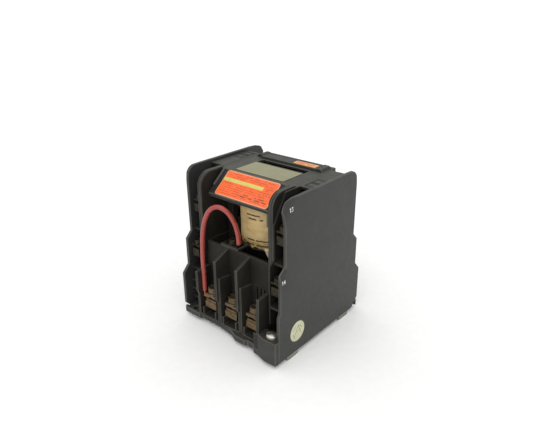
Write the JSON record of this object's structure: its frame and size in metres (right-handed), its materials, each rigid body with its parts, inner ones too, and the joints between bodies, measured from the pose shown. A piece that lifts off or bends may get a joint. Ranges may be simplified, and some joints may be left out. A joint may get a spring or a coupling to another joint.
{
  "type": "three-pole magnetic contactor",
  "caption": "Three-pole magnetic contactor with a coil behind an open front, stepped terminal barriers and an auxiliary contact block on each side.",
  "frame": {"origin": "middle of the outline, on the plane that the feet stand on", "axes": "+Z out of the mounting face towards the front, -Y the line side, +X to the right; half a turn about +Z maps the device onto itself"},
  "size_m": [0.086, 0.095, 0.103],
  "materials": {
    "base_plastic": "moulded, worn satin",
    "housing_plastic": "moulded, matt",
    "barrier_plastic": "moulded, matt, lighter worn edges",
    "cheek_plastic": "moulded, satin, worn rim",
    "cover_plastic": "moulded, smooth satin",
    "cap_plastic": "moulded, matt",
    "rail_plastic": "moulded, matt",
    "label_orange": "printed film",
    "label_pale_orange": "printed film",
    "marker_plastic": "matt, aged",
    "foot_plastic": "moulded, soft",
    "coil_paper": "varnished wrapping paper",
    "copper_wire": "enamelled copper",
    "core_steel": "laminated, pole faces ground",
    "copper": "bare copper",
    "rubber": "soft",
    "contact_brass": "tarnished",
    "clamp_steel": "plated, tarnished",
    "screw_nickel": "nickel plated",
    "spring_steel": "drawn wire",
    "carrier_plastic": "moulded, matt",
    "slider_plastic": "moulded phenolic",
    "lead_insulation": "extruded PVC",
    "sticker_paper": "printed paper"
  },
  "bodies": {
    "root": {"base_plate": "base_plastic", "base_feet": "foot_plastic", "contact_housing": "housing_plastic", "partition_plate": "housing_plastic", "line_barriers": "barrier_plastic", "load_barriers": "barrier_plastic", "left_cheek": "cheek_plastic", "right_cheek": "cheek_plastic", "top_cap": "cap_plastic", "rating_label": "label_orange", "marker_plate": "marker_plastic", "rear_rail": "rail_plastic", "rail_label": "label_pale_orange", "left_rail_clip": "cheek_plastic", "right_rail_clip": "cheek_plastic", "coil_bobbin": "housing_plastic", "coil_winding": "copper_wire", "coil_wrap": "coil_paper", "coil_collar": "coil_paper", "coil_terminals": "contact_brass", "coil_terminal_screws": "screw_nickel", "fixed_core": "core_steel", "shading_rings": "copper", "core_cushion": "rubber", "line_contact_1": "contact_brass", "line_contact_2": "contact_brass", "line_contact_3": "contact_brass", "load_contact_1": "contact_brass", "load_contact_2": "contact_brass", "load_contact_3": "contact_brass", "terminal_saddles": "clamp_steel", "terminal_washers": "clamp_steel", "terminal_screws": "clamp_steel", "return_spring_left": "spring_steel", "return_spring_right": "spring_steel", "left_aux_body": "housing_plastic", "right_aux_body": "housing_plastic", "left_aux_cover": "cover_plastic", "right_aux_cover": "cover_plastic", "left_aux_contacts": "contact_brass", "right_aux_contacts": "contact_brass", "aux_terminal_screws": "screw_nickel", "lug_screws": "screw_nickel", "jumper_lead": "lead_insulation", "lead_ends": "copper", "round_sticker": "sticker_paper"},
    "carrier": {"contact_carrier": "carrier_plastic", "armature": "core_steel", "armature_pin": "spring_steel", "contact_spring_1": "spring_steel", "contact_spring_2": "spring_steel", "contact_spring_3": "spring_steel"},
    "bridge_a": {"bridge_1": "copper"},
    "bridge_b": {"bridge_2": "copper"},
    "bridge_c": {"bridge_3": "copper"},
    "left_slider": {"left_aux_slider": "slider_plastic", "left_aux_bridges": "contact_brass"},
    "right_slider": {"right_aux_slider": "slider_plastic", "right_aux_bridges": "contact_brass"}
  },
  "joints": [
    {"name": "carrier_travel", "type": "slide", "parent": "root", "child": "carrier", "axis": [0, 0, -1], "range_m": [0, 0.006], "stiffness_N_per_m": 600, "springref_m": -0.006, "deforming": ["return_spring_left", "return_spring_right"]},
    {"name": "bridge_a_give", "type": "slide", "parent": "carrier", "child": "bridge_a", "axis": [0, 0, 1], "range_m": [0, 0.0015], "deforming": ["contact_spring_1"]},
    {"name": "bridge_b_give", "type": "slide", "parent": "carrier", "child": "bridge_b", "axis": [0, 0, 1], "range_m": [0, 0.0015], "deforming": ["contact_spring_2"]},
    {"name": "bridge_c_give", "type": "slide", "parent": "carrier", "child": "bridge_c", "axis": [0, 0, 1], "range_m": [0, 0.0015], "deforming": ["contact_spring_3"]},
    {"name": "left_slider_travel", "type": "slide", "parent": "root", "child": "left_slider", "axis": [0, 0, -1], "range_m": [0, 0.006]},
    {"name": "right_slider_travel", "type": "slide", "parent": "root", "child": "right_slider", "axis": [0, 0, -1], "range_m": [0, 0.006]}
  ],
  "couplings": [
    {"joint": "bridge_a_give", "follows": "carrier_travel", "ratio": 0.25},
    {"joint": "bridge_b_give", "follows": "carrier_travel", "ratio": 0.25},
    {"joint": "bridge_c_give", "follows": "carrier_travel", "ratio": 0.25},
    {"joint": "left_slider_travel", "follows": "carrier_travel", "ratio": 1},
    {"joint": "right_slider_travel", "follows": "carrier_travel", "ratio": 1}
  ]
}
